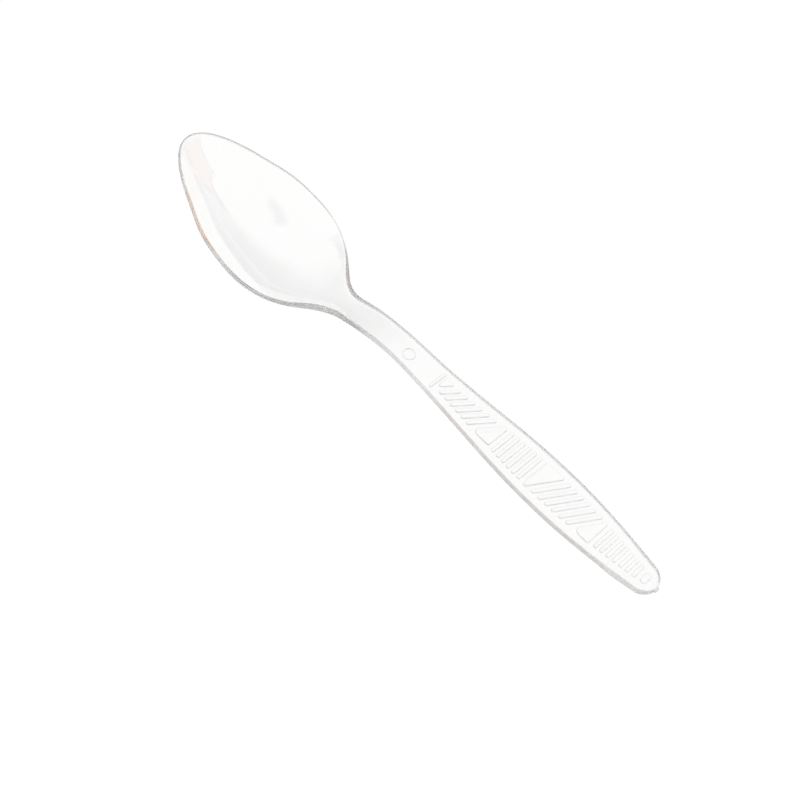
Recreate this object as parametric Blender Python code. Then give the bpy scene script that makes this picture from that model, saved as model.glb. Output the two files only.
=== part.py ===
"""Clear disposable plastic spoon, made in one moulding.

A deep egg-shaped bowl of even wall runs through a narrow neck into an arched handle. The handle is one
solid flat bar, twice as thick as the bowl's wall. It carries a raised grip pattern, and a raised ring
that is bare inside marks it near the neck.

Sizes are in millimetres, and the mesh is written in metres. While the spoon is shaped, x runs along it
from the bowl's tip (x = 0) to the handle's end, y runs across it and z is the height over the table.
It rests on the bowl's underside and on the flat foot under the handle's end.
"""

import math

import bmesh
import bpy
import numpy as np

MM = 0.001

# Lengths along the spoon
BOWL_LENGTH = 61.0
NECK_LENGTH = 15.0
HANDLE_LENGTH = 89.0

# Widths across it
BOWL_WIDTH = 34.3
NECK_WIDTH = 8.0
GRIP_WIDTH = 13.9

# Heights of the rim and of the handle's top over the table
TIP_HEIGHT = 17.6
HEEL_HEIGHT = 5.4
NECK_HEIGHT = 9.3
END_HEIGHT = 2.3

# Thickness of the bowl and of the handle, and the form of their edges
WALL = 1.2
HANDLE_THICKNESS = 2.4
LIP_WIDTH = 0.45
LIP_HEIGHT = 1.0
EDGE_RADIUS = 0.25
FOOT_RADIUS = 0.25

# The flat foot under the handle's end, and the length over which it is reached
REST_LENGTH = 7.0
REST_BLEND = 8.0

# Length over which each end is rounded, seen from above
TIP_ROUNDING = 14.0
END_ROUNDING = 3.5

# Grip pattern: bars and corner pads that stand up from the handle's plate
RELIEF_HEIGHT = 0.3
RELIEF_DRAFT = 0.15
RELIEF_ROOT = 0.4
RELIEF_MARGIN = 2.4
PATTERN_OFFSET = -0.4
BAR_WIDTH = 0.9
BAR_CLEARANCE = 1.6
CROSS_PITCH = 1.79
CROSS_GAP = 1.2
SLANTED_WIDTH = 1.05
SLANTED_PITCH = 2.13
SLANTED_BARS = 6
SLANTED_GAP = 1.25
PAD_CORNER = 0.4
PAD_NOSE = 1.2
END_BAR_WIDTH = 1.6
END_BAR_LENGTH = 3.2
END_BAR_AT = 3.25

# The first bar, and each unit's first edge, last slanted bar, last edge and the bars' lean, which is in
# mm along the handle for each mm across it
FIRST_BAR_AT = 17.5
PATTERN_UNITS = ((18.5, 32.4, 38.0, 0.68), (50.3, 66.3, 70.9, 0.56))

# Raised ring on the neck, and the stub left where the runner was broken off
RING_AT = 7.8
RING_OFFSET = -0.85
RING_RADIUS = 1.58
RING_LINE = 0.36
RING_HEIGHT = 0.2
GATE_WIDTH = 1.3
GATE_LENGTH = 0.4
GATE_ROOT = 0.6
GATE_HEIGHT = 0.9
GATE_LIFT = 0.8

# Fineness of the mesh
TIP_STEPS = 12
BOWL_STEPS = 26
NECK_STEPS = 9
HANDLE_STEPS = 24
END_STEPS = 9
TOP_RINGS = (0.28, 0.52, 0.72, 0.88)
UNDER_RINGS = (0.93, 0.8, 0.6, 0.3)
CORNER_STEPS = 2

NECK_AT = BOWL_LENGTH
HANDLE_AT = BOWL_LENGTH + NECK_LENGTH
LENGTH = BOWL_LENGTH + NECK_LENGTH + HANDLE_LENGTH
ORIGIN_AT = (LENGTH + GATE_LENGTH) / 2


def clear_scene():
    for thing in list(bpy.data.objects):
        bpy.data.objects.remove(thing, do_unlink=True)


def smooth_curve(points):
    """The natural cubic spline through (x, value) points, as a function of x."""
    xs, values = np.array(points, float).T
    gaps = np.diff(xs)
    slopes = np.diff(values) / gaps
    matrix = np.eye(len(xs))
    target = np.zeros(len(xs))
    for i in range(1, len(xs) - 1):
        matrix[i, i - 1:i + 2] = gaps[i - 1], 2 * (gaps[i - 1] + gaps[i]), gaps[i]
        target[i] = 6 * (slopes[i] - slopes[i - 1])
    bends = np.linalg.solve(matrix, target)

    def value(x):
        i = int(np.clip(np.searchsorted(xs, x) - 1, 0, len(gaps) - 1))
        a = (xs[i + 1] - x) / gaps[i]
        b = (x - xs[i]) / gaps[i]
        bow = (a**3 - a) * bends[i] + (b**3 - b) * bends[i + 1]
        return a * values[i] + b * values[i + 1] + bow * gaps[i] ** 2 / 6

    return value


def along(start, length, shares):
    """Shape points given as (share of the length, share of the change), as (x, share) points."""
    return [(start + length * at, share) for at, share in shares]


# Half width: 0 is the neck's and 1 the bowl's or the grip's widest place
BOWL_FULLNESS = smooth_curve(
    along(0, BOWL_LENGTH, [(0.0, 0.40), (0.115, 0.478), (0.23, 0.633), (0.36, 0.873), (0.49, 0.988),
                           (0.557, 1.0), (0.623, 0.981), (0.738, 0.811), (0.836, 0.51),
                           (0.918, 0.185), (1.0, 0.015)])
    + along(NECK_AT, NECK_LENGTH, [(0.4, 0.0), (1.0, 0.0)]))
GRIP_FULLNESS = smooth_curve(
    along(NECK_AT, NECK_LENGTH, [(0.0, 0.0), (0.4, 0.0), (1.0, -0.02)])
    + along(HANDLE_AT, HANDLE_LENGTH, [(0.157, 0.08), (0.326, 0.45), (0.494, 0.89), (0.618, 1.0),
                                       (0.663, 0.985), (0.831, 0.60), (1.0, -0.16)]))

# Rim height: 1 at the bowl's tip and 0 at its heel, then 0 at the heel and 1 at the neck's crest
TIP_RISE = smooth_curve(
    along(0, BOWL_LENGTH, [(0.0, 1.0), (0.23, 0.721), (0.49, 0.369), (0.62, 0.197), (0.738, 0.055),
                           (0.836, 0.0), (1.0, 0.0)]))
NECK_RISE = smooth_curve(
    along(0, BOWL_LENGTH, [(0.738, 0.0), (0.836, 0.0), (0.918, 0.085), (1.0, 0.31)])
    + along(NECK_AT, NECK_LENGTH, [(0.4, 0.70), (1.0, 1.0)])
    + along(HANDLE_AT, HANDLE_LENGTH, [(0.157, 0.875), (0.494, 0.496), (0.831, 0.157), (1.0, 0.0)]))

# How far the bowl's floor reaches down from the rim towards the table
DISH_FULLNESS = smooth_curve(
    along(0, BOWL_LENGTH, [(0.0, -0.05), (0.115, 0.35), (0.23, 0.554), (0.36, 0.75), (0.49, 0.914),
                           (0.66, 1.005), (0.738, 0.97), (0.836, 0.762), (0.918, 0.467), (1.0, 0.222)])
    + along(NECK_AT, NECK_LENGTH, [(0.4, 0.072), (0.87, 0.0), (1.0, 0.0)]))


def rounding(distance, length):
    """1 away from an end, falling to 0 at it along a quarter ellipse."""
    share = min(max(distance / length, 0.0), 1.0)
    return math.sqrt(1 - (1 - share) ** 2)


def half_width(x):
    neck = NECK_WIDTH / 2
    if x < HANDLE_AT:
        wide = neck + (BOWL_WIDTH / 2 - neck) * max(BOWL_FULLNESS(x), 0.0)
    else:
        wide = neck
    if x > NECK_AT:
        wide += (GRIP_WIDTH / 2 - neck) * GRIP_FULLNESS(x)
    return wide * rounding(x, TIP_ROUNDING) * rounding(LENGTH - x, END_ROUNDING)


def rim_height(x):
    """Height of the lip in the bowl and of the plate's top in the handle."""
    heel = BOWL_LENGTH * 0.836
    if x < heel:
        return HEEL_HEIGHT + (TIP_HEIGHT - HEEL_HEIGHT) * TIP_RISE(x)
    if x < HANDLE_AT:
        return HEEL_HEIGHT + (NECK_HEIGHT - HEEL_HEIGHT) * NECK_RISE(x)
    return END_HEIGHT + (NECK_HEIGHT - END_HEIGHT) * NECK_RISE(x)


def eased(share):
    """A share from 0 to 1 that starts and stops gently."""
    share = min(max(share, 0.0), 1.0)
    return share * share * (3 - 2 * share)


def toward_handle(x):
    """0 in the bowl and 1 from the neck on."""
    start = BOWL_LENGTH * 0.64
    return eased((x - start) / (NECK_AT + NECK_LENGTH / 5 - start))


def edge_bottom(x):
    """Foot of the outer edge: near the rim on the bowl, deep on the handle, on the table at the end."""
    edge = LIP_HEIGHT + (HANDLE_THICKNESS - LIP_HEIGHT) * toward_handle(x)
    return max(rim_height(x) - edge, 0.0) * eased((LENGTH - REST_LENGTH - x) / REST_BLEND)


def outline_stations():
    """The x of each outline point, closer together where the outline turns."""
    tip = [TIP_ROUNDING * (1 - math.cos(math.pi / 2 * i / TIP_STEPS)) for i in range(TIP_STEPS)]
    bowl = [TIP_ROUNDING + (NECK_AT - TIP_ROUNDING) * i / BOWL_STEPS for i in range(BOWL_STEPS)]
    neck = [NECK_AT + NECK_LENGTH * i / NECK_STEPS for i in range(NECK_STEPS)]
    end_at = LENGTH - END_ROUNDING
    handle = [HANDLE_AT + (end_at - HANDLE_AT) * i / HANDLE_STEPS for i in range(HANDLE_STEPS)]
    end = [end_at + END_ROUNDING * math.sin(math.pi / 2 * i / END_STEPS) for i in range(END_STEPS + 1)]
    return tip + bowl + neck + handle + end


def outline_point(x):
    """A point on the outline's +Y side and the outward direction there."""
    if x <= 0:
        return np.array([0.0, 0.0]), np.array([-1.0, 0.0])
    if x >= LENGTH:
        return np.array([LENGTH, 0.0]), np.array([1.0, 0.0])
    step = min(0.02, x / 2, (LENGTH - x) / 2)
    slope = (half_width(x + step) - half_width(x - step)) / (2 * step)
    outward = np.array([-slope, 1.0]) / math.hypot(slope, 1.0)
    return np.array([x, half_width(x)]), outward


def dish_edge():
    """The lip's inner edge as x and half width squared, which is smooth where the edge turns."""
    edge = []
    for i in range(401):
        x = NECK_AT * (1 - math.cos(math.pi / 2 * i / 400)) if i < 400 else NECK_AT
        point, outward = outline_point(x)
        edge.append(point - outward * LIP_WIDTH)
    beyond = np.linspace(NECK_AT, LENGTH, 60)[1:-1]
    edge += [np.array([x, half_width(x) - LIP_WIDTH]) for x in beyond]
    edge = np.array(edge)
    return edge[:, 0], np.maximum(edge[:, 1], 0.0) ** 2


DISH_X, DISH_HALF_SQUARED = dish_edge()


def dish_depth(x):
    """How far the middle of the upper surface lies under the rim."""
    if x >= HANDLE_AT:
        return 0.0
    return (rim_height(x) - WALL) * min(max(DISH_FULLNESS(x), 0.0), 1.0)


def top_height(x, y):
    """Height of the upper surface: hollow inside the lip, flat across on the handle."""
    if x <= DISH_X[0] or x >= HANDLE_AT:
        return rim_height(x)
    half_squared = max(np.interp(x, DISH_X, DISH_HALF_SQUARED), 1e-6)
    return rim_height(x) - dish_depth(x) * max(1 - y * y / half_squared, 0.0)


def under_height(x, y):
    """Height of the lower surface: a dish a wall under the upper one, flat across on the handle."""
    edge = edge_bottom(x)
    if x <= 0 or x >= HANDLE_AT:
        return edge
    wall = WALL + (HANDLE_THICKNESS - WALL) * toward_handle(x)
    depth = min(max(edge - rim_height(x) + dish_depth(x) + wall, 0.0), edge)
    return edge - depth * max(1 - (y / half_width(x)) ** 2, 0.0)


def section_rings(x):
    """One outline point's rings of (x, y, z), from the upper middle over the edge to the lower middle."""
    point, outward = outline_point(x)
    inner = point - outward * LIP_WIDTH
    middle = np.array([min(max(inner[0], TIP_ROUNDING), LENGTH - END_ROUNDING), 0.0])
    rings = []
    for share in TOP_RINGS:
        at = middle + (inner - middle) * share
        rings.append((*at, top_height(*at)))
    rings.append((*inner, rim_height(x)))
    turns = [math.pi / 2 * i / CORNER_STEPS for i in range(CORNER_STEPS + 1)]
    for turn in turns:
        at = point - outward * EDGE_RADIUS * (1 - math.sin(turn))
        rings.append((*at, rim_height(x) - EDGE_RADIUS * (1 - math.cos(turn))))
    for turn in turns:
        at = point - outward * FOOT_RADIUS * (1 - math.cos(turn))
        rings.append((*at, edge_bottom(x) + FOOT_RADIUS * (1 - math.sin(turn))))
    foot = point - outward * FOOT_RADIUS
    for share in UNDER_RINGS:
        at = middle + (foot - middle) * share
        rings.append((*at, under_height(*at)))
    return middle[0], rings


def spoon_body():
    """The bowl, neck and handle as one closed mesh."""
    mesh = bmesh.new()
    stations = outline_stations()
    sections = [section_rings(x) for x in stations]
    count = len(sections)
    middles = {}

    def middle(x):
        if x not in middles:
            top = mesh.verts.new((x, 0.0, top_height(x, 0.0)))
            under = mesh.verts.new((x, 0.0, under_height(x, 0.0)))
            middles[x] = (top, under)
        return middles[x]

    columns = []
    for side in (1, -1):
        order = range(count) if side == 1 else range(count - 2, 0, -1)
        for i in order:
            x, rings = sections[i]
            verts = [mesh.verts.new((a, side * b, c)) for a, b, c in rings]
            top, under = middle(x)
            columns.append([top] + verts + [under])
    for left, right in zip(columns, columns[1:] + columns[:1]):
        for a, b, c, d in zip(left, left[1:], right[1:], right):
            corners = [a, b, c] if a is d else [a, b, d] if b is c else [a, b, c, d]
            mesh.faces.new(corners)
    bmesh.ops.recalc_face_normals(mesh, faces=mesh.faces)
    return mesh


def grip_half(x):
    """Half the width of the band that the grip pattern fills."""
    return max(half_width(x) - RELIEF_MARGIN, BAR_WIDTH)


def rounded_polygon(corners, radii, steps):
    """The corners of a convex polygon, run anticlockwise, each turned into an arc."""
    points = []
    count = len(corners)
    for i in range(count):
        before, corner, after = (np.array(corners[(i + k) % count], float) for k in (-1, 0, 1))
        back = (before - corner) / np.linalg.norm(before - corner)
        ahead = (after - corner) / np.linalg.norm(after - corner)
        half_angle = math.acos(max(min(back @ ahead, 1.0), -1.0)) / 2
        radius = radii[i]
        reach = radius / math.sin(half_angle)
        inward = (back + ahead) / np.linalg.norm(back + ahead)
        centre = corner + inward * reach
        first = math.atan2(*(corner + back * reach * math.cos(half_angle) - centre)[::-1])
        sweep = math.pi - 2 * half_angle
        for k in range(steps + 1):
            turn = first + sweep * k / steps
            points.append(centre + radius * np.array([math.cos(turn), math.sin(turn)]))
    return points


def bar_outline(start, end, width, steps=4):
    """A bar with round ends between two points."""
    start, end = np.array(start, float), np.array(end, float)
    heading = math.atan2(*(end - start)[::-1])
    points = []
    for centre, first in ((end, heading - math.pi / 2), (start, heading + math.pi / 2)):
        for k in range(steps + 1):
            turn = first + math.pi * k / steps
            points.append(centre + width / 2 * np.array([math.cos(turn), math.sin(turn)]))
    return points


def add_pad(mesh, outline, height, draft):
    """One raised pad, rooted in the plate, with its upper edge drawn in by the draft."""
    outline = np.array(outline)
    ahead = np.roll(outline, -1, axis=0) - np.roll(outline, 1, axis=0)
    inward = np.stack([-ahead[:, 1], ahead[:, 0]], axis=1)
    inward /= np.linalg.norm(inward, axis=1)[:, None]
    levels = ((0.0, -RELIEF_ROOT), (0.0, height - draft), (draft, height))
    loops = []
    for inset, lift in levels:
        flat = outline + inward * inset
        loops.append([mesh.verts.new((x, y, top_height(x, y) + lift)) for x, y in flat])
    for low, high in zip(loops, loops[1:]):
        for i in range(len(low)):
            k = (i + 1) % len(low)
            mesh.faces.new((low[i], low[k], high[k], high[i]))
    mesh.faces.new(loops[-1])
    mesh.faces.new(loops[0][::-1])


def add_bar(mesh, x, lean, width, reach=None):
    """A raised bar that crosses the pattern's middle at x."""
    reach = (grip_half(x) if reach is None else reach) - width / 2
    start = x - reach * lean, PATTERN_OFFSET - reach
    end = x + reach * lean, PATTERN_OFFSET + reach
    add_pad(mesh, bar_outline(start, end, width), RELIEF_HEIGHT, RELIEF_DRAFT)


def add_corner_pad(mesh, corners, nose):
    """A raised pad with rounded corners, of which the first has its own radius."""
    corners = [(x, y + PATTERN_OFFSET) for x, y in corners]
    radii = [nose] + [PAD_CORNER] * (len(corners) - 1)
    add_pad(mesh, rounded_polygon(corners, radii, 3), RELIEF_HEIGHT, RELIEF_DRAFT)


def pattern_unit(mesh, first_edge, last_bar, last_edge, lean, stop):
    """A corner pad, slanted bars, a second corner pad, and cross bars as far as they fit."""
    half_bar = SLANTED_WIDTH / 2 * math.hypot(1.0, lean)
    bars = [last_bar - SLANTED_PITCH * i for i in range(SLANTED_BARS)]
    for x in bars:
        add_bar(mesh, x, lean, SLANTED_WIDTH)

    slope_at = bars[-1] - half_bar - SLANTED_GAP
    high = grip_half(slope_at)
    low = -min(high, (slope_at - first_edge - 2 * PAD_CORNER) / lean)
    add_corner_pad(mesh, [(first_edge, low), (slope_at + low * lean, low),
                          (slope_at + high * lean, high), (first_edge, high)], PAD_CORNER)

    slope_at = bars[0] + half_bar + SLANTED_GAP
    low = -grip_half(slope_at)
    high = min(-low, (last_edge - slope_at - 2 * PAD_CORNER) / lean)
    add_corner_pad(mesh, [(slope_at + low * lean, low), (last_edge, low),
                          (last_edge, high), (slope_at + high * lean, high)], PAD_NOSE)

    x = last_edge + CROSS_GAP + BAR_WIDTH / 2
    while x < stop - BAR_CLEARANCE:
        add_bar(mesh, x, 0.0, BAR_WIDTH)
        x += CROSS_PITCH


def add_ring(mesh, steps=20):
    """The raised ring on the neck."""
    centre = np.array([HANDLE_AT + RING_AT, RING_OFFSET])
    loops = []
    for side, lift in ((1, -RELIEF_ROOT), (1, RING_HEIGHT), (-1, RING_HEIGHT), (-1, -RELIEF_ROOT)):
        loop = []
        for i in range(steps):
            turn = 2 * math.pi * i / steps
            reach = RING_RADIUS + side * RING_LINE / 2
            x, y = centre + reach * np.array([math.cos(turn), math.sin(turn)])
            loop.append(mesh.verts.new((x, y, top_height(x, y) + lift)))
        loops.append(loop)
    for low, high in zip(loops, loops[1:] + loops[:1]):
        for i in range(steps):
            k = (i + 1) % steps
            mesh.faces.new((low[i], low[k], high[k], high[i]))


def add_gate_stub(mesh):
    """The small stub at the middle of the handle's end."""
    inner_x = LENGTH - GATE_ROOT
    outer_x = LENGTH + GATE_LENGTH
    corners = [(x, side * GATE_WIDTH / 2, GATE_LIFT + rise)
               for x in (inner_x, outer_x) for side in (-1, 1) for rise in (0.0, GATE_HEIGHT)]
    verts = [mesh.verts.new(corner) for corner in corners]
    for face in ((0, 1, 3, 2), (4, 6, 7, 5), (0, 4, 5, 1), (2, 3, 7, 6), (0, 2, 6, 4), (1, 5, 7, 3)):
        mesh.faces.new([verts[i] for i in face])


def relief():
    """Everything that stands up from the moulding, as closed pads to be joined to it."""
    mesh = bmesh.new()
    x = HANDLE_AT + FIRST_BAR_AT
    add_bar(mesh, x, 0.0, BAR_WIDTH * 0.8, grip_half(x) + BAR_WIDTH)
    end_bar = LENGTH - END_BAR_AT
    starts = [HANDLE_AT + unit[0] for unit in PATTERN_UNITS[1:]] + [end_bar - END_BAR_WIDTH / 2]
    for (*places, lean), stop in zip(PATTERN_UNITS, starts):
        pattern_unit(mesh, *[HANDLE_AT + place for place in places], lean, stop)
    add_bar(mesh, end_bar, 0.0, END_BAR_WIDTH, END_BAR_LENGTH / 2)
    add_ring(mesh)
    add_gate_stub(mesh)
    bmesh.ops.triangulate(mesh, faces=mesh.faces)
    bmesh.ops.recalc_face_normals(mesh, faces=mesh.faces)
    return mesh


def to_object(name, mesh):
    """Write the shape in metres, with its origin under the middle of the finished spoon."""
    for vert in mesh.verts:
        vert.co.x -= ORIGIN_AT
        vert.co *= MM
    data = bpy.data.meshes.new(name)
    mesh.to_mesh(data)
    mesh.free()
    thing = bpy.data.objects.new(name, data)
    bpy.context.collection.objects.link(thing)
    return thing


def clear_plastic():
    material = bpy.data.materials.new("clear_plastic")
    material.use_nodes = True
    shader = material.node_tree.nodes["Principled BSDF"]
    shader.inputs["Base Color"].default_value = (0.96, 0.96, 0.97, 1.0)
    shader.inputs["Roughness"].default_value = 0.08
    shader.inputs["Metallic"].default_value = 0.0
    shader.inputs["IOR"].default_value = 1.59
    shader.inputs["Transmission Weight"].default_value = 1.0
    return material


def build():
    clear_scene()
    spoon = to_object("spoon", spoon_body())
    pads = to_object("raised_pattern", relief())
    pads.hide_render = True
    pads.display_type = "WIRE"
    union = spoon.modifiers.new("raised_pattern", "BOOLEAN")
    union.operation = "UNION"
    union.solver = "EXACT"
    union.object = pads
    spoon.data.materials.append(clear_plastic())
    spoon.data.shade_smooth()
    spoon.data.set_sharp_from_angle(angle=math.radians(35))


build()
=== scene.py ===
"""Looks of the clear disposable spoon.

The one moulding is built again here with fine facets, rounded edges and a rounded grip pattern, because
clear plastic shows every facet in what it bends and mirrors. It has the same sizes as the CAD solid and
stands for it. The shape is worked out in millimetres, with x from the bowl's tip to the handle's end, y
across and z up from the table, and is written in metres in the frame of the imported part.
"""

import math

import bmesh
import bpy
import numpy as np
from mathutils import Matrix, Vector


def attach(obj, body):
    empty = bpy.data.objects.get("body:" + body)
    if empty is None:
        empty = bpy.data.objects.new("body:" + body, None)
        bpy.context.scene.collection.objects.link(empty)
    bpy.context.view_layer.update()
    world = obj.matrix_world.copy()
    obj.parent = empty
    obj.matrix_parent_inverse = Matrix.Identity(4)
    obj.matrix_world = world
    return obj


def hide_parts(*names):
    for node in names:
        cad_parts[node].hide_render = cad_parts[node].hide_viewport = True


MM = 0.001

# Lengths along the spoon, widths across it, and heights of its rim and handle over the table
BOWL_LENGTH = 61.0
NECK_LENGTH = 15.0
HANDLE_LENGTH = 89.0
BOWL_WIDTH = 34.3
NECK_WIDTH = 8.0
GRIP_WIDTH = 13.9
TIP_HEIGHT = 17.6
HEEL_HEIGHT = 5.4
NECK_HEIGHT = 9.3
END_HEIGHT = 2.3

# Thickness of the bowl and of the handle, the form of their edges, and the foot under the handle's end
WALL = 1.2
HANDLE_THICKNESS = 2.4
LIP_WIDTH = 0.45
LIP_HEIGHT = 1.0
LIP_BLEND = 0.02
EDGE_RADIUS = 0.4
FOOT_RADIUS = 0.3
HANDLE_FOOT_RADIUS = 0.9
REST_LENGTH = 7.0
REST_BLEND = 8.0
TIP_ROUNDING = 14.0
END_ROUNDING = 3.5

# Where the heel lies and where the edge starts to thicken, as shares of the bowl's length, and where it has
# its full thickness, as a share of the neck's
HEEL_SHARE = 0.836
THICKENS_FROM = 0.64
THICKENS_TO = 0.2

# Grip pattern. The first bar is longer than the others, and its width is a share of theirs.
RELIEF_HEIGHT = 0.33
RELIEF_SLOPE = 0.36
RELIEF_SINK = 0.012
RELIEF_ROOT = 0.4
RELIEF_MARGIN = 2.4
PATTERN_OFFSET = -0.4
BAR_WIDTH = 0.9
FIRST_BAR_SHARE = 0.8
BAR_CLEARANCE = 1.6
CROSS_PITCH = 1.79
CROSS_GAP = 1.2
SLANTED_WIDTH = 1.05
SLANTED_PITCH = 2.13
SLANTED_BARS = 6
SLANTED_GAP = 1.25
PAD_CORNER = 0.4
PAD_NOSE = 1.2
END_BAR_WIDTH = 1.6
END_BAR_LENGTH = 3.2
END_BAR_AT = 3.25

# The first bar, and each unit's first edge, last slanted bar, last edge and the bars' lean, which is in
# mm along the handle for each mm across it
FIRST_BAR_AT = 17.5
PATTERN_UNITS = ((18.5, 32.4, 38.0, 0.68), (50.3, 66.3, 70.9, 0.56))

# Raised ring on the neck, and the stub of the runner
RING_AT = 7.8
RING_OFFSET = -0.85
RING_RADIUS = 1.58
RING_LINE = 0.36
RING_HEIGHT = 0.2
GATE_WIDTH = 1.3
GATE_LENGTH = 0.4
GATE_ROOT = 0.6
GATE_HEIGHT = 0.9
GATE_LIFT = 0.8
GATE_ROUNDING = 0.15

# Clear plastic, and the size of the haze's spots as their number in a metre
PLASTIC_COLOUR = (0.98, 0.98, 0.977, 1.0)
PLASTIC_IOR = 1.59
HAZE_SCALE = 180.0
HAZE_DETAIL = 3.0
HAZE_SPREAD = (0.3, 0.7)
FACE_ROUGHNESS = (0.02, 0.06)

# Edges come less glossy from the mould than faces. The surface counts as an edge where the upright part of
# its direction is less than this, in the bowl and on the handle, and turns matt over the fade.
EDGE_ROUGHNESS = 0.55
BOWL_EDGE_SLOPE = 0.5
HANDLE_EDGE_SLOPE = 0.88
EDGE_FADE = 0.12

# Fineness of the mesh, and the angle in degrees from which a fold stays sharp
TIP_STEPS = 40
BOWL_STEPS = 90
NECK_STEPS = 30
HANDLE_STEPS = 120
END_STEPS = 36
TOP_RINGS = 16
UNDER_RINGS = 16
CORNER_STEPS = 6
PAD_STEPS = 8
PAD_RISE_STEPS = 8
RING_STEPS = 48
DISH_STEPS = 400
BEYOND_STEPS = 60
GATE_STEPS = 3
RING_CROWDING = 0.7
SLOPE_STEP = 0.02
SAME_PLACE = 1e-4
SHARP_FROM = 32

# The camera that took the photograph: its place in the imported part's frame, and how it was held
CAMERA_PLACE = (0.1266, -0.1780, 0.2850)
CAMERA_TURN = 35.27
CAMERA_TILT = 53.67
CAMERA_ROLL = 12.0
LENS = 64.6
SENSOR = 36.0

# The studio's light as brightness from red to blue: a dome, and the parts that differ from it. Each part
# lies round an azimuth and a height in degrees, reaches so far to each side and up and down, leans by so
# many degrees of height for each of azimuth, has an edge so many degrees soft, and ends with its colour.
DOME = (0.97, 0.97, 0.96)
DIM_SIDE = (138, 15, 52, 36, 0.0, 30, (0.16, 0.16, 0.165))
CARD_FRAME = (48, 33, 37, 21, -0.2, 4, (0.0, 0.0, 0.0))
WARM_CARD = (48, 33, 33, 17, -0.2, 4, (0.72, 0.32, 0.10))
SMALL_SHADE = (-92, 69, 22, 6, -0.4, 8, (0.20, 0.20, 0.20))
DARK_CARD = (-151, 39, 15, 8, 0.6, 4, (0.0, 0.0, 0.0))
STUDIO = (DIM_SIDE, CARD_FRAME, WARM_CARD, SMALL_SHADE, DARK_CARD)

# White floor in metres, a hair under the spoon's foot, and how often light may bounce in the plastic
FLOOR_SIZE = 20.0
FLOOR_DROP = 0.00005
FLOOR_COLOUR = (0.02, 0.02, 0.02, 1.0)
FLOOR_GLOW = 1.0
LIGHT_BOUNCES = 128

NECK_AT = BOWL_LENGTH
HANDLE_AT = BOWL_LENGTH + NECK_LENGTH
LENGTH = BOWL_LENGTH + NECK_LENGTH + HANDLE_LENGTH
ORIGIN_AT = (LENGTH + GATE_LENGTH) / 2


def smooth_curve(points):
    """The natural cubic spline through (x, value) points, as a function of x."""
    xs, values = np.array(points, float).T
    gaps = np.diff(xs)
    slopes = np.diff(values) / gaps
    matrix = np.eye(len(xs))
    target = np.zeros(len(xs))
    for i in range(1, len(xs) - 1):
        matrix[i, i - 1:i + 2] = gaps[i - 1], 2 * (gaps[i - 1] + gaps[i]), gaps[i]
        target[i] = 6 * (slopes[i] - slopes[i - 1])
    bends = np.linalg.solve(matrix, target)

    def value(x):
        i = int(np.clip(np.searchsorted(xs, x) - 1, 0, len(gaps) - 1))
        a = (xs[i + 1] - x) / gaps[i]
        b = (x - xs[i]) / gaps[i]
        bow = (a**3 - a) * bends[i] + (b**3 - b) * bends[i + 1]
        return a * values[i] + b * values[i + 1] + bow * gaps[i] ** 2 / 6

    return value


def along(start, length, shares):
    """Shape points given as (share of the length, share of the change), as (x, share) points."""
    return [(start + length * at, share) for at, share in shares]


# Half width: 0 is the neck's and 1 the bowl's or the grip's widest place
BOWL_FULLNESS = smooth_curve(
    along(0, BOWL_LENGTH, [(0.0, 0.40), (0.115, 0.478), (0.23, 0.633), (0.36, 0.873), (0.49, 0.988),
                           (0.557, 1.0), (0.623, 0.981), (0.738, 0.811), (0.836, 0.51),
                           (0.918, 0.185), (1.0, 0.015)])
    + along(NECK_AT, NECK_LENGTH, [(0.4, 0.0), (1.0, 0.0)]))
GRIP_FULLNESS = smooth_curve(
    along(NECK_AT, NECK_LENGTH, [(0.0, 0.0), (0.4, 0.0), (1.0, -0.02)])
    + along(HANDLE_AT, HANDLE_LENGTH, [(0.157, 0.08), (0.326, 0.45), (0.494, 0.89), (0.618, 1.0),
                                       (0.663, 0.985), (0.831, 0.60), (1.0, -0.16)]))

# Rim height: 1 at the bowl's tip and 0 at its heel, then 0 at the heel and 1 at the neck's crest
TIP_RISE = smooth_curve(
    along(0, BOWL_LENGTH, [(0.0, 1.0), (0.23, 0.721), (0.49, 0.369), (0.62, 0.197), (0.738, 0.055),
                           (HEEL_SHARE, 0.0), (1.0, 0.0)]))
NECK_RISE = smooth_curve(
    along(0, BOWL_LENGTH, [(0.738, 0.0), (HEEL_SHARE, 0.0), (0.918, 0.085), (1.0, 0.31)])
    + along(NECK_AT, NECK_LENGTH, [(0.4, 0.70), (1.0, 1.0)])
    + along(HANDLE_AT, HANDLE_LENGTH, [(0.157, 0.875), (0.494, 0.496), (0.831, 0.157), (1.0, 0.0)]))

# How far the bowl's floor reaches down from the rim towards the table
DISH_FULLNESS = smooth_curve(
    along(0, BOWL_LENGTH, [(0.0, -0.05), (0.115, 0.35), (0.23, 0.554), (0.36, 0.75), (0.49, 0.914),
                           (0.66, 1.005), (0.738, 0.97), (0.836, 0.762), (0.918, 0.467), (1.0, 0.222)])
    + along(NECK_AT, NECK_LENGTH, [(0.4, 0.072), (0.87, 0.0), (1.0, 0.0)]))


def rounding(distance, length):
    """1 away from an end, falling to 0 at it along a quarter ellipse."""
    share = min(max(distance / length, 0.0), 1.0)
    return math.sqrt(1 - (1 - share) ** 2)


def eased(share):
    """A share from 0 to 1 that starts and stops gently."""
    share = min(max(share, 0.0), 1.0)
    return share * share * (3 - 2 * share)


def half_width(x):
    """Half the width of the outline."""
    neck = NECK_WIDTH / 2
    wide = neck
    if x < HANDLE_AT:
        wide += (BOWL_WIDTH / 2 - neck) * max(BOWL_FULLNESS(x), 0.0)
    if x > NECK_AT:
        wide += (GRIP_WIDTH / 2 - neck) * GRIP_FULLNESS(x)
    return wide * rounding(x, TIP_ROUNDING) * rounding(LENGTH - x, END_ROUNDING)


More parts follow.
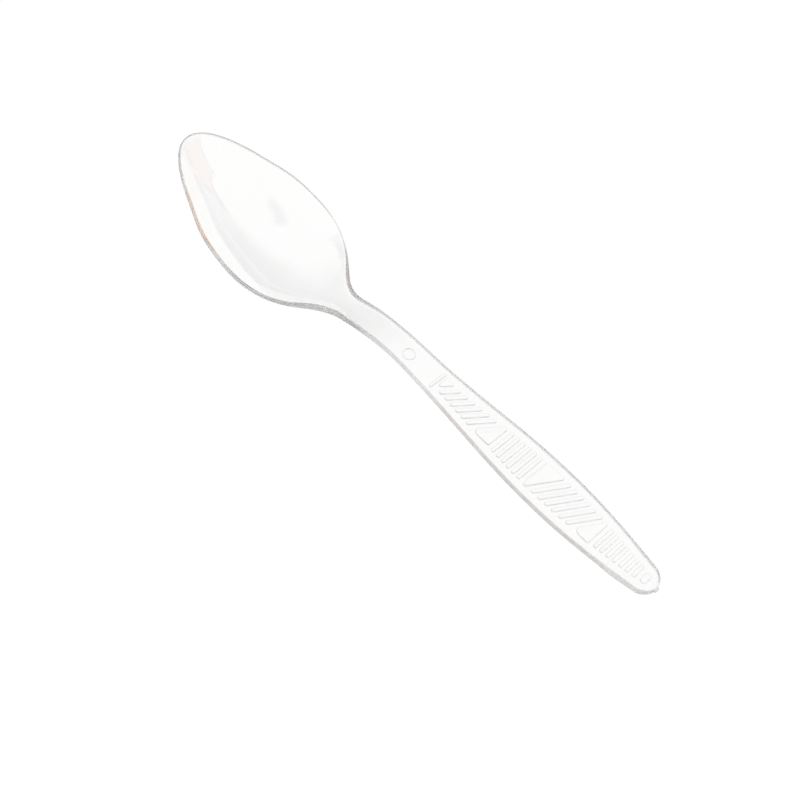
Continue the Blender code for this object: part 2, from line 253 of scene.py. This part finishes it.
def rim_height(x):
    """Height of the lip in the bowl and of the bar's top in the handle."""
    if x < BOWL_LENGTH * HEEL_SHARE:
        return HEEL_HEIGHT + (TIP_HEIGHT - HEEL_HEIGHT) * TIP_RISE(x)
    if x < HANDLE_AT:
        return HEEL_HEIGHT + (NECK_HEIGHT - HEEL_HEIGHT) * NECK_RISE(x)
    return END_HEIGHT + (NECK_HEIGHT - END_HEIGHT) * NECK_RISE(x)


def toward_handle(x):
    """0 in the bowl and 1 from the neck on."""
    start = BOWL_LENGTH * THICKENS_FROM
    return eased((x - start) / (NECK_AT + NECK_LENGTH * THICKENS_TO - start))


def edge_bottom(x):
    """Height of the outer edge's foot, which comes down on the table at the handle's end."""
    edge = LIP_HEIGHT + (HANDLE_THICKNESS - LIP_HEIGHT) * toward_handle(x)
    return max(rim_height(x) - edge, 0.0) * eased((LENGTH - REST_LENGTH - x) / REST_BLEND)


def outline_point(x):
    """A point on the outline's +Y side and the outward direction there."""
    if x <= 0:
        return np.array([0.0, 0.0]), np.array([-1.0, 0.0])
    if x >= LENGTH:
        return np.array([LENGTH, 0.0]), np.array([1.0, 0.0])
    step = min(SLOPE_STEP, x / 2, (LENGTH - x) / 2)
    slope = (half_width(x + step) - half_width(x - step)) / (2 * step)
    outward = np.array([-slope, 1.0]) / math.hypot(slope, 1.0)
    return np.array([x, half_width(x)]), outward


def dish_edge():
    """The lip's inner edge as x and half width squared, which is smooth where the edge turns."""
    edge = []
    places = [NECK_AT * (1 - math.cos(math.pi / 2 * i / DISH_STEPS)) for i in range(DISH_STEPS)]
    for x in places + [NECK_AT]:
        point, outward = outline_point(x)
        edge.append(point - outward * LIP_WIDTH)
    beyond = np.linspace(NECK_AT, LENGTH, BEYOND_STEPS)[1:-1]
    edge += [np.array([x, half_width(x) - LIP_WIDTH]) for x in beyond]
    edge = np.array(edge)
    return edge[:, 0], np.maximum(edge[:, 1], 0.0) ** 2


DISH_X, DISH_HALF_SQUARED = dish_edge()


def dish_depth(x):
    """How far the middle of the upper surface lies under the rim."""
    if x >= HANDLE_AT:
        return 0.0
    return (rim_height(x) - WALL) * min(max(DISH_FULLNESS(x), 0.0), 1.0)


def top_height(x, y):
    """Height of the upper surface: hollow inside the lip, flat across on the handle."""
    rim = rim_height(x)
    if x <= DISH_X[0] or x >= HANDLE_AT:
        return rim
    half_squared = max(np.interp(x, DISH_X, DISH_HALF_SQUARED), 1e-6)
    share = 1 - y * y / half_squared
    blended = (share + math.hypot(share, LIP_BLEND)) / 2
    return rim - dish_depth(x) * min(blended, 1.0)


def under_height(x, y):
    """Height of the lower surface: a dish a wall under the upper one, flat across on the handle."""
    edge = edge_bottom(x)
    if x <= 0 or x >= HANDLE_AT:
        return edge
    wall = WALL + (HANDLE_THICKNESS - WALL) * toward_handle(x)
    depth = min(max(edge - rim_height(x) + dish_depth(x) + wall, 0.0), edge)
    return edge - depth * max(1 - (y / half_width(x)) ** 2, 0.0)


def outline_stations():
    """The x of each outline point, closer together where the outline turns."""
    tip = [TIP_ROUNDING * (1 - math.cos(math.pi / 2 * i / TIP_STEPS)) for i in range(TIP_STEPS)]
    bowl = [TIP_ROUNDING + (NECK_AT - TIP_ROUNDING) * i / BOWL_STEPS for i in range(BOWL_STEPS)]
    neck = [NECK_AT + NECK_LENGTH * i / NECK_STEPS for i in range(NECK_STEPS)]
    end_at = LENGTH - END_ROUNDING
    handle = [HANDLE_AT + (end_at - HANDLE_AT) * i / HANDLE_STEPS for i in range(HANDLE_STEPS)]
    end = [end_at + END_ROUNDING * math.sin(math.pi / 2 * i / END_STEPS) for i in range(END_STEPS + 1)]
    return tip + bowl + neck + handle + end


def section_rings(x):
    """One outline point's rings of (x, y, z), from the upper middle over the edge to the lower middle."""
    point, outward = outline_point(x)
    inner = point - outward * LIP_WIDTH
    middle = np.array([min(max(inner[0], TIP_ROUNDING), LENGTH - END_ROUNDING), 0.0])
    rings = []
    for i in range(1, TOP_RINGS + 1):
        at = middle + (inner - middle) * (i / TOP_RINGS) ** RING_CROWDING
        rings.append((*at, top_height(*at)))
    at = point - outward * (LIP_WIDTH + EDGE_RADIUS) / 2
    rings.append((*at, top_height(*at)))
    turns = [math.pi / 2 * i / CORNER_STEPS for i in range(CORNER_STEPS + 1)]
    for turn in turns:
        at = point - outward * EDGE_RADIUS * (1 - math.sin(turn))
        rings.append((*at, top_height(*at) - EDGE_RADIUS * (1 - math.cos(turn))))
    radius = FOOT_RADIUS + (HANDLE_FOOT_RADIUS - FOOT_RADIUS) * toward_handle(x)
    for turn in turns:
        at = point - outward * radius * (1 - math.cos(turn))
        rings.append((*at, under_height(*at) + radius * (1 - math.sin(turn))))
    foot = point - outward * radius
    for i in range(UNDER_RINGS - 1, 0, -1):
        at = middle + (foot - middle) * (i / UNDER_RINGS) ** RING_CROWDING
        rings.append((*at, under_height(*at)))
    return middle[0], rings


def spoon_body():
    """The bowl, neck and handle as one closed mesh."""
    mesh = bmesh.new()
    sections = [section_rings(x) for x in outline_stations()]
    count = len(sections)
    middles = {}

    def middle(x):
        if x not in middles:
            top = mesh.verts.new((x, 0.0, top_height(x, 0.0)))
            under = mesh.verts.new((x, 0.0, under_height(x, 0.0)))
            middles[x] = (top, under)
        return middles[x]

    columns = []
    for side in (1, -1):
        order = range(count) if side == 1 else range(count - 2, 0, -1)
        for i in order:
            x, rings = sections[i]
            verts = [mesh.verts.new((a, side * b, c)) for a, b, c in rings]
            top, under = middle(x)
            columns.append([top] + verts + [under])
    for left, right in zip(columns, columns[1:] + columns[:1]):
        for a, b, c, d in zip(left, left[1:], right[1:], right):
            corners = [a, b, c] if a is d else [a, b, d] if b is c else [a, b, c, d]
            mesh.faces.new(corners)
    bmesh.ops.remove_doubles(mesh, verts=mesh.verts, dist=SAME_PLACE)
    bmesh.ops.recalc_face_normals(mesh, faces=mesh.faces)
    return mesh


def grip_half(x):
    """Half the width of the band that the grip pattern fills."""
    return max(half_width(x) - RELIEF_MARGIN, BAR_WIDTH)


def rounded_polygon(corners, radii, steps):
    """The corners of a convex polygon, run anticlockwise, each turned into an arc."""
    points = []
    count = len(corners)
    for i in range(count):
        before, corner, after = (np.array(corners[(i + k) % count], float) for k in (-1, 0, 1))
        back = (before - corner) / np.linalg.norm(before - corner)
        ahead = (after - corner) / np.linalg.norm(after - corner)
        half_angle = math.acos(max(min(back @ ahead, 1.0), -1.0)) / 2
        radius = radii[i]
        reach = radius / math.sin(half_angle)
        inward = (back + ahead) / np.linalg.norm(back + ahead)
        centre = corner + inward * reach
        first = math.atan2(*(corner + back * reach * math.cos(half_angle) - centre)[::-1])
        sweep = math.pi - 2 * half_angle
        for k in range(steps + 1):
            turn = first + sweep * k / steps
            points.append(centre + radius * np.array([math.cos(turn), math.sin(turn)]))
    return points


def bar_outline(start, end, width):
    """A bar with round ends between two points."""
    start, end = np.array(start, float), np.array(end, float)
    heading = math.atan2(*(end - start)[::-1])
    points = []
    for centre, first in ((end, heading - math.pi / 2), (start, heading + math.pi / 2)):
        for k in range(PAD_STEPS + 1):
            turn = first + math.pi * k / PAD_STEPS
            points.append(centre + width / 2 * np.array([math.cos(turn), math.sin(turn)]))
    return points


def pad_levels():
    """A pad's side as (inset, lift): a root in the handle, then a smooth rise from foot to top."""
    yield -RELIEF_SLOPE / 2, -RELIEF_ROOT
    for i in range(PAD_RISE_STEPS + 1):
        share = i / PAD_RISE_STEPS
        lift = RELIEF_HEIGHT * (1 - math.cos(math.pi * share)) / 2
        yield RELIEF_SLOPE * (share - 0.5), lift - RELIEF_SINK


def add_pad(mesh, outline):
    """One raised pad, rooted in the handle, with its upper edge rounded."""
    outline = np.array(outline)
    ahead = np.roll(outline, -1, axis=0) - np.roll(outline, 1, axis=0)
    inward = np.stack([-ahead[:, 1], ahead[:, 0]], axis=1)
    inward /= np.linalg.norm(inward, axis=1)[:, None]
    loops = []
    for inset, lift in pad_levels():
        flat = outline + inward * inset
        loops.append([mesh.verts.new((x, y, top_height(x, y) + lift)) for x, y in flat])
    for low, high in zip(loops, loops[1:]):
        for i in range(len(low)):
            k = (i + 1) % len(low)
            mesh.faces.new((low[i], low[k], high[k], high[i]))
    mesh.faces.new(loops[-1])
    mesh.faces.new(loops[0][::-1])


def add_bar(mesh, x, lean, width, reach=None):
    """A raised bar that crosses the pattern's middle at x."""
    reach = (grip_half(x) if reach is None else reach) - width / 2
    start = x - reach * lean, PATTERN_OFFSET - reach
    end = x + reach * lean, PATTERN_OFFSET + reach
    add_pad(mesh, bar_outline(start, end, width))


def add_corner_pad(mesh, corners, nose):
    """A raised pad with rounded corners, of which the first has its own radius."""
    corners = [(x, y + PATTERN_OFFSET) for x, y in corners]
    radii = [nose] + [PAD_CORNER] * (len(corners) - 1)
    add_pad(mesh, rounded_polygon(corners, radii, PAD_STEPS))


def pattern_unit(mesh, first_edge, last_bar, last_edge, lean, stop):
    """A corner pad, slanted bars, a second corner pad, and cross bars as far as they fit."""
    half_bar = SLANTED_WIDTH / 2 * math.hypot(1.0, lean)
    bars = [last_bar - SLANTED_PITCH * i for i in range(SLANTED_BARS)]
    for x in bars:
        add_bar(mesh, x, lean, SLANTED_WIDTH)

    slope_at = bars[-1] - half_bar - SLANTED_GAP
    high = grip_half(slope_at)
    low = -min(high, (slope_at - first_edge - 2 * PAD_CORNER) / lean)
    add_corner_pad(mesh, [(first_edge, low), (slope_at + low * lean, low),
                          (slope_at + high * lean, high), (first_edge, high)], PAD_CORNER)

    slope_at = bars[0] + half_bar + SLANTED_GAP
    low = -grip_half(slope_at)
    high = min(-low, (last_edge - slope_at - 2 * PAD_CORNER) / lean)
    add_corner_pad(mesh, [(slope_at + low * lean, low), (last_edge, low),
                          (last_edge, high), (slope_at + high * lean, high)], PAD_NOSE)

    x = last_edge + CROSS_GAP + BAR_WIDTH / 2
    while x < stop - BAR_CLEARANCE:
        add_bar(mesh, x, 0.0, BAR_WIDTH)
        x += CROSS_PITCH


def add_ring(mesh):
    """The raised ring on the neck, with a half-round top."""
    centre = np.array([HANDLE_AT + RING_AT, RING_OFFSET])
    section = [(1, -RELIEF_ROOT)]
    for i in range(CORNER_STEPS + 1):
        turn = math.pi * i / CORNER_STEPS
        section.append((math.cos(turn), RING_HEIGHT * math.sin(turn)))
    section.append((-1, -RELIEF_ROOT))
    loops = []
    for side, lift in section:
        loop = []
        for i in range(RING_STEPS):
            turn = 2 * math.pi * i / RING_STEPS
            reach = RING_RADIUS + side * RING_LINE / 2
            x, y = centre + reach * np.array([math.cos(turn), math.sin(turn)])
            loop.append(mesh.verts.new((x, y, top_height(x, y) + lift)))
        loops.append(loop)
    for low, high in zip(loops, loops[1:] + loops[:1]):
        for i in range(RING_STEPS):
            k = (i + 1) % RING_STEPS
            mesh.faces.new((low[i], low[k], high[k], high[i]))


def add_gate_stub(mesh):
    """The small stub at the middle of the handle's end."""
    inner_x = LENGTH - GATE_ROOT
    outer_x = LENGTH + GATE_LENGTH
    corners = [(x, side * GATE_WIDTH / 2, GATE_LIFT + rise)
               for x in (inner_x, outer_x) for side in (-1, 1) for rise in (0.0, GATE_HEIGHT)]
    verts = [mesh.verts.new(corner) for corner in corners]
    faces = []
    for face in ((0, 1, 3, 2), (4, 6, 7, 5), (0, 4, 5, 1), (2, 3, 7, 6), (0, 2, 6, 4), (1, 5, 7, 3)):
        faces.append(mesh.faces.new([verts[i] for i in face]))
    outer = list(faces[1].edges)
    bmesh.ops.bevel(mesh, geom=outer, offset=GATE_ROUNDING, segments=GATE_STEPS, affect="EDGES")


def relief():
    """Everything that stands up from the moulding, as closed pads to be joined to it."""
    mesh = bmesh.new()
    x = HANDLE_AT + FIRST_BAR_AT
    add_bar(mesh, x, 0.0, BAR_WIDTH * FIRST_BAR_SHARE, grip_half(x) + BAR_WIDTH)
    end_bar = LENGTH - END_BAR_AT
    starts = [HANDLE_AT + unit[0] for unit in PATTERN_UNITS[1:]] + [end_bar - END_BAR_WIDTH / 2]
    for (*places, lean), stop in zip(PATTERN_UNITS, starts):
        pattern_unit(mesh, *[HANDLE_AT + place for place in places], lean, stop)
    add_bar(mesh, end_bar, 0.0, END_BAR_WIDTH, END_BAR_LENGTH / 2)
    add_ring(mesh)
    add_gate_stub(mesh)
    bmesh.ops.triangulate(mesh, faces=mesh.faces)
    bmesh.ops.recalc_face_normals(mesh, faces=mesh.faces)
    return mesh


def to_object(name, mesh):
    """Write the shape in metres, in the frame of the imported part."""
    for vert in mesh.verts:
        vert.co.x -= ORIGIN_AT
        vert.co *= MM
    data = bpy.data.meshes.new(name)
    mesh.to_mesh(data)
    mesh.free()
    thing = bpy.data.objects.new(name, data)
    bpy.context.collection.objects.link(thing)
    return thing


def join_relief(spoon):
    """Unite the raised pattern with the moulding, and keep only the joined mesh."""
    pads = to_object("pads", relief())
    union = spoon.modifiers.new("pads", "BOOLEAN")
    union.operation = "UNION"
    union.solver = "EXACT"
    union.object = pads
    depsgraph = bpy.context.evaluated_depsgraph_get()
    joined = bpy.data.meshes.new_from_object(spoon.evaluated_get(depsgraph))
    spoon.modifiers.clear()
    spoon.data = joined
    bpy.data.objects.remove(pads, do_unlink=True)


def maths(tree, operation, *values):
    """A maths node on sockets and plain numbers, giving its result."""
    node = tree.nodes.new("ShaderNodeMath")
    node.operation = operation
    for socket, value in zip(node.inputs, values):
        if isinstance(value, (int, float)):
            socket.default_value = value
        else:
            tree.links.new(value, socket)
    return node.outputs["Value"]


def mapped(tree, value, before, after):
    """A value taken from one range of numbers to another, and kept within it."""
    node = tree.nodes.new("ShaderNodeMapRange")
    ends = ("From Min", "From Max", "To Min", "To Max")
    for name, end in zip(ends, (*before, *after)):
        node.inputs[name].default_value = end
    tree.links.new(value, node.inputs["Value"])
    return node.outputs["Result"]


def face_roughness(tree, place):
    """The slight haze of a glossy face, which varies over the surface."""
    haze = tree.nodes.new("ShaderNodeTexNoise")
    haze.inputs["Scale"].default_value = HAZE_SCALE
    haze.inputs["Detail"].default_value = HAZE_DETAIL
    tree.links.new(place.outputs["Object"], haze.inputs["Vector"])
    return mapped(tree, haze.outputs["Fac"], HAZE_SPREAD, FACE_ROUGHNESS)


def edge_roughness(tree, place):
    """The matt finish of the edges and of the pattern's steep sides, and 0 on the faces."""
    facing = tree.nodes.new("ShaderNodeSeparateXYZ")
    tree.links.new(place.outputs["Normal"], facing.inputs["Vector"])
    lengthwise = tree.nodes.new("ShaderNodeSeparateXYZ")
    tree.links.new(place.outputs["Object"], lengthwise.inputs["Vector"])
    neck = [(x - ORIGIN_AT) * MM for x in (NECK_AT, HANDLE_AT)]
    steep = mapped(tree, lengthwise.outputs["X"], neck, (BOWL_EDGE_SLOPE, HANDLE_EDGE_SLOPE))
    upright = maths(tree, "ABSOLUTE", facing.outputs["Z"])
    beyond = maths(tree, "SUBTRACT", steep, upright)
    return mapped(tree, beyond, (0.0, EDGE_FADE), (0.0, EDGE_ROUGHNESS))


def clear_plastic():
    """Clear moulded polystyrene with glossy faces and matt edges."""
    material = bpy.data.materials.new("clear_polystyrene")
    material.use_nodes = True
    tree = material.node_tree
    shader = tree.nodes["Principled BSDF"]
    shader.inputs["Base Color"].default_value = PLASTIC_COLOUR
    shader.inputs["IOR"].default_value = PLASTIC_IOR
    shader.inputs["Transmission Weight"].default_value = 1.0
    shader.inputs["Metallic"].default_value = 0.0
    place = tree.nodes.new("ShaderNodeTexCoord")
    rough = maths(tree, "MAXIMUM", face_roughness(tree, place), edge_roughness(tree, place))
    tree.links.new(rough, shader.inputs["Roughness"])
    return material


def white_floor():
    """A plain floor that is white by its own glow, so that the clear plastic casts no dark shadow."""
    mesh = bmesh.new()
    bmesh.ops.create_grid(mesh, x_segments=1, y_segments=1, size=FLOOR_SIZE / 2)
    data = bpy.data.meshes.new("floor")
    mesh.to_mesh(data)
    mesh.free()
    floor = bpy.data.objects.new("floor", data)
    floor.location.z = -FLOOR_DROP
    bpy.context.collection.objects.link(floor)
    material = bpy.data.materials.new("white_paper")
    material.use_nodes = True
    shader = material.node_tree.nodes["Principled BSDF"]
    shader.inputs["Base Color"].default_value = FLOOR_COLOUR
    shader.inputs["Roughness"].default_value = 1.0
    shader.inputs["Specular IOR Level"].default_value = 0.0
    shader.inputs["Emission Color"].default_value = (1.0, 1.0, 1.0, 1.0)
    shader.inputs["Emission Strength"].default_value = FLOOR_GLOW
    data.materials.append(material)


def within(tree, angle, reach, softness):
    """1 where the angle is within the reach to either side of 0, falling smoothly to 0 beyond it."""
    fall = tree.nodes.new("ShaderNodeMapRange")
    fall.interpolation_type = "SMOOTHSTEP"
    fall.inputs["From Min"].default_value = reach - softness / 2
    fall.inputs["From Max"].default_value = reach + softness / 2
    fall.inputs["To Min"].default_value = 1.0
    fall.inputs["To Max"].default_value = 0.0
    tree.links.new(maths(tree, "ABSOLUTE", angle), fall.inputs["Value"])
    return fall.outputs["Result"]


def studio_light():
    """A soft white dome with a dim side, a warm card in a dark frame, a small shade and a dark card."""
    world = bpy.data.worlds.new("studio")
    bpy.context.scene.world = world
    world.use_nodes = True
    tree = world.node_tree
    place = tree.nodes.new("ShaderNodeTexCoord")
    split = tree.nodes.new("ShaderNodeSeparateXYZ")
    tree.links.new(place.outputs["Generated"], split.inputs["Vector"])
    azimuth = maths(tree, "DEGREES", maths(tree, "ARCTAN2", split.outputs["Y"], split.outputs["X"]))
    height = maths(tree, "DEGREES", maths(tree, "ARCSINE", split.outputs["Z"]))
    colour = None
    for turn, rise, across, upward, lean, softness, light in STUDIO:
        beside = maths(tree, "WRAP", maths(tree, "SUBTRACT", azimuth, turn), 180.0, -180.0)
        slant = maths(tree, "MULTIPLY_ADD", beside, lean, float(rise))
        above = maths(tree, "SUBTRACT", height, slant)
        share = maths(tree, "MULTIPLY", within(tree, beside, across, softness),
                      within(tree, above, upward, softness))
        blend = tree.nodes.new("ShaderNodeMix")
        blend.data_type = "RGBA"
        if colour is None:
            blend.inputs["A"].default_value = (*DOME, 1.0)
        else:
            tree.links.new(colour, blend.inputs["A"])
        blend.inputs["B"].default_value = (*light, 1.0)
        tree.links.new(share, blend.inputs["Factor"])
        colour = blend.outputs["Result"]
    tree.links.new(colour, tree.nodes["Background"].inputs["Color"])


def photo_camera():
    """The camera as the photograph was taken, found from the spoon's outline in it."""
    turn, tilt, roll = (math.radians(a) for a in (CAMERA_TURN, CAMERA_TILT, CAMERA_ROLL))
    right = Vector((math.cos(turn), math.sin(turn), 0.0))
    ahead = Vector((-math.sin(turn), math.cos(turn), 0.0))
    sight = ahead * math.cos(tilt) - Vector((0, 0, math.sin(tilt)))
    above = ahead * math.sin(tilt) + Vector((0, 0, math.cos(tilt)))
    across = right * math.cos(roll) + above * math.sin(roll)
    upward = above * math.cos(roll) - right * math.sin(roll)
    data = bpy.data.cameras.new("camera")
    data.lens = LENS
    data.sensor_width = SENSOR
    camera = bpy.data.objects.new("camera", data)
    held = Matrix((across, upward, -sight)).transposed().to_4x4()
    camera.matrix_world = Matrix.Translation(CAMERA_PLACE) @ held
    bpy.context.collection.objects.link(camera)
    bpy.context.scene.camera = camera


def full_light_paths():
    """Lets light bounce on inside the clear edges instead of ending black."""
    cycles = bpy.context.scene.cycles
    cycles.max_bounces = LIGHT_BOUNCES
    cycles.transmission_bounces = LIGHT_BOUNCES
    cycles.glossy_bounces = LIGHT_BOUNCES


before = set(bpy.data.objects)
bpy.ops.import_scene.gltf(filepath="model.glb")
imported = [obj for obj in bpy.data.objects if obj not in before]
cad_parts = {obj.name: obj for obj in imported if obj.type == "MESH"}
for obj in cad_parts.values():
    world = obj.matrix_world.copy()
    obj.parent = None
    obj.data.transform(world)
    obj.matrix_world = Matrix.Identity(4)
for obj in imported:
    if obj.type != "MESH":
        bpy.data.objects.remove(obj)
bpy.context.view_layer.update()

spoon = to_object("clear_spoon", spoon_body())
join_relief(spoon)
spoon.data.materials.clear()
spoon.data.materials.append(clear_plastic())
spoon.data.shade_smooth()
spoon.data.set_sharp_from_angle(angle=math.radians(SHARP_FROM))
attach(spoon, "root")
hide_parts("spoon")

white_floor()
studio_light()
photo_camera()
full_light_paths()
bpy.context.scene.view_settings.view_transform = "Standard"
